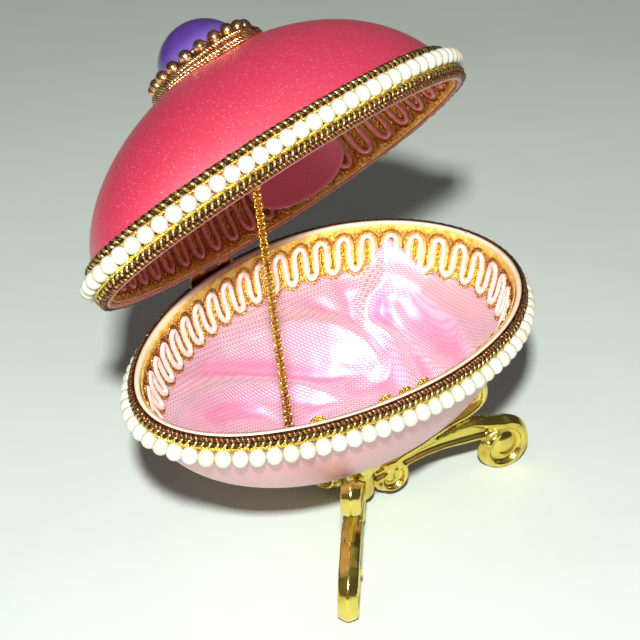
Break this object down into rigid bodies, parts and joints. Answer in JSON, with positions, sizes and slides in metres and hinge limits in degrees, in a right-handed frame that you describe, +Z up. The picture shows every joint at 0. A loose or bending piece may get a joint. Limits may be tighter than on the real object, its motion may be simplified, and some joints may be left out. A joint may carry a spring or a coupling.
{
  "type": "jewelled egg trinket box",
  "caption": "Egg-shaped trinket box on a three-legged stand, with a hinged jewelled lid held open by a stay chain.",
  "frame": {"origin": "middle of the underside of the whole object, with its lid open on the stay chain", "axes": "+X along the egg to its blunt end, -Y the front where the lid opens, +Z up"},
  "size_m": [0.0958, 0.072, 0.0941],
  "materials": {
    "gilt_casting": "polished yellow gilt on a cast stand",
    "pale_lacquer": "pearlescent pink lacquer",
    "lacquer": "pearlescent hot pink lacquer",
    "satin": "pink satin",
    "gimp": "satin cord gimp with metallic thread",
    "gold_braid": "metallic gold braid",
    "pearl": "cream pearl",
    "brass": "brass",
    "chain": "fine gold-plated chain",
    "antique_gold": "beaded filigree, antique gold",
    "stone": "purple glowing cabochon"
  },
  "bodies": {
    "box": {"stand": "gilt_casting", "bowl_shell": "pale_lacquer", "bowl_lining": "satin", "bowl_gimp": "gimp", "bowl_edge_braid": "gold_braid", "bowl_pearls": "pearl", "bowl_hinge_leaf": "brass", "hinge_pin": "brass", "stay_chain": "chain"},
    "lid": {"lid_shell": "lacquer", "lid_lining": "satin", "lid_gimp": "gimp", "lid_edge_braid": "gold_braid", "lid_pearls": "pearl", "lid_top_braid": "gold_braid", "lid_hinge_leaf": "brass", "cabochon": "stone", "cabochon_setting": "antique_gold"}
  },
  "joints": [
    {"name": "lid_hinge", "type": "hinge", "parent": "box", "child": "lid", "pos_m": [-0.00008, 0.02648, 0.0432], "axis": [1, 0, 0], "range_deg": [0, 48], "deforming": ["stay_chain"]}
  ]
}
